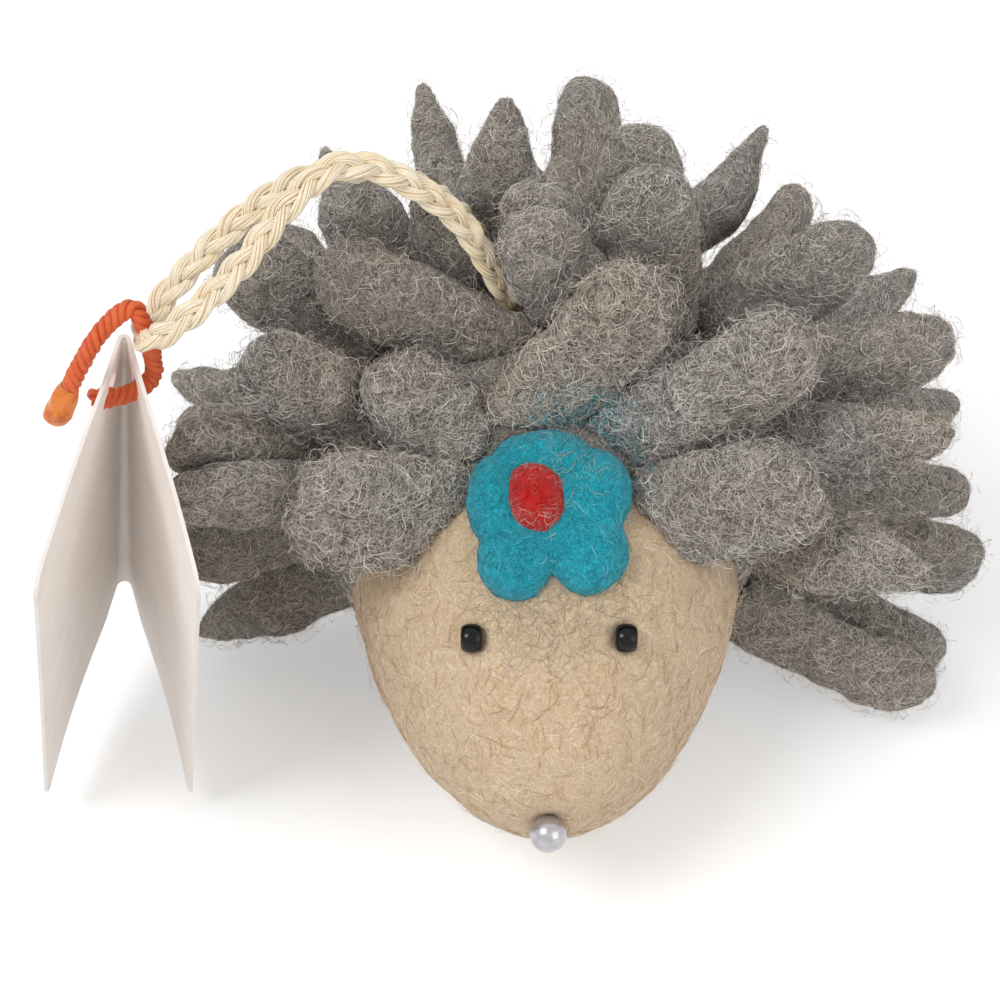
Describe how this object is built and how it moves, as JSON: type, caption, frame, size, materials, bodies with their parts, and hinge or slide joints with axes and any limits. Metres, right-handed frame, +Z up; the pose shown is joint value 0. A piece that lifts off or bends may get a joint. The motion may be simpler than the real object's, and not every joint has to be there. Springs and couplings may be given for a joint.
{
  "type": "felt hedgehog ornament",
  "caption": "Felt hedgehog figurine with a cone-shaped face, thick gray quills, a brow flower, bead eyes and nose, a braided hanging loop and a folded card.",
  "frame": {"origin": "middle of the belly's flat rest patch, on the floor under the middle of the wool ball", "axes": "+Z up, the snout towards -Y, the hedgehog's left side towards +X"},
  "size_m": [0.11, 0.0901, 0.0808],
  "materials": {
    "gray_felt": "heathered wool felt",
    "beige_felt": "wool felt",
    "turquoise_felt": "wool felt",
    "red_felt": "wool felt",
    "black_bead": "glossy opaque glass",
    "pearl": "pearl lustre",
    "cream_cord": "braided cotton",
    "orange_yarn": "twisted yarn",
    "white_card": "smooth card"
  },
  "bodies": {
    "ornament": {"eye_bead_left": "black_bead", "eye_bead_right": "black_bead", "felt_ball": "gray_felt", "felt_face": "beige_felt", "flower_centre": "red_felt", "flower_petal_left": "turquoise_felt", "flower_petal_lower_left": "turquoise_felt", "flower_petal_lower_right": "turquoise_felt", "flower_petal_right": "turquoise_felt", "flower_petal_top": "turquoise_felt", "hanging_cord": "cream_cord", "nose_bead_pearl": "pearl", "quill_back_1": "gray_felt", "quill_back_10": "gray_felt", "quill_back_2": "gray_felt", "quill_back_3": "gray_felt", "quill_back_4": "gray_felt", "quill_back_5": "gray_felt", "quill_back_6": "gray_felt", "quill_back_7": "gray_felt", "quill_back_8": "gray_felt", "quill_back_9": "gray_felt", "quill_brow_1": "gray_felt", "quill_brow_2": "gray_felt", "quill_brow_3": "gray_felt", "quill_brow_4": "gray_felt", "quill_crown_1": "gray_felt", "quill_crown_2": "gray_felt", "quill_crown_3": "gray_felt", "quill_crown_4": "gray_felt", "quill_crown_5": "gray_felt", "quill_crown_6": "gray_felt", "quill_mane_1": "gray_felt", "quill_mane_2": "gray_felt", "quill_mane_3": "gray_felt", "quill_mane_4": "gray_felt", "quill_mane_5": "gray_felt", "quill_mane_6": "gray_felt", "quill_mane_7": "gray_felt", "quill_mane_8": "gray_felt", "quill_rear_1": "gray_felt", "quill_rear_2": "gray_felt", "quill_rear_3": "gray_felt", "quill_rear_4": "gray_felt", "quill_rear_5": "gray_felt", "quill_rear_6": "gray_felt", "quill_rear_7": "gray_felt", "quill_rear_8": "gray_felt", "quill_rear_9": "gray_felt", "quill_skirt_1": "gray_felt", "quill_skirt_2": "gray_felt", "quill_skirt_3": "gray_felt", "quill_skirt_4": "gray_felt", "quill_skirt_5": "gray_felt", "quill_skirt_6": "gray_felt", "quill_skirt_7": "gray_felt", "quill_skirt_8": "gray_felt"},
    "tie": {"yarn_tie": "orange_yarn"},
    "card": {"card_leaf_right": "white_card"},
    "card_leaf": {"card_leaf_left": "white_card"}
  },
  "joints": [
    {"name": "tie_swing", "type": "hinge", "parent": "ornament", "child": "tie", "pos_m": [-0.0402, -0.0185, 0.0652], "axis": [0, 1, 0], "range_deg": [-2, 35], "deforming": ["yarn_tie"]},
    {"name": "card_swing", "type": "hinge", "parent": "tie", "child": "card", "pos_m": [-0.04373, -0.01815, 0.05775], "axis": [0.988, 0.097, -0.12], "range_deg": [-40, 5], "deforming": ["yarn_tie"]},
    {"name": "card_fold", "type": "hinge", "parent": "card", "child": "card_leaf", "pos_m": [-0.0435, -0.0152, 0.062], "axis": [-0.1435, 0.2891, -0.9465], "range_deg": [-26, 60], "deforming": ["yarn_tie"]}
  ]
}
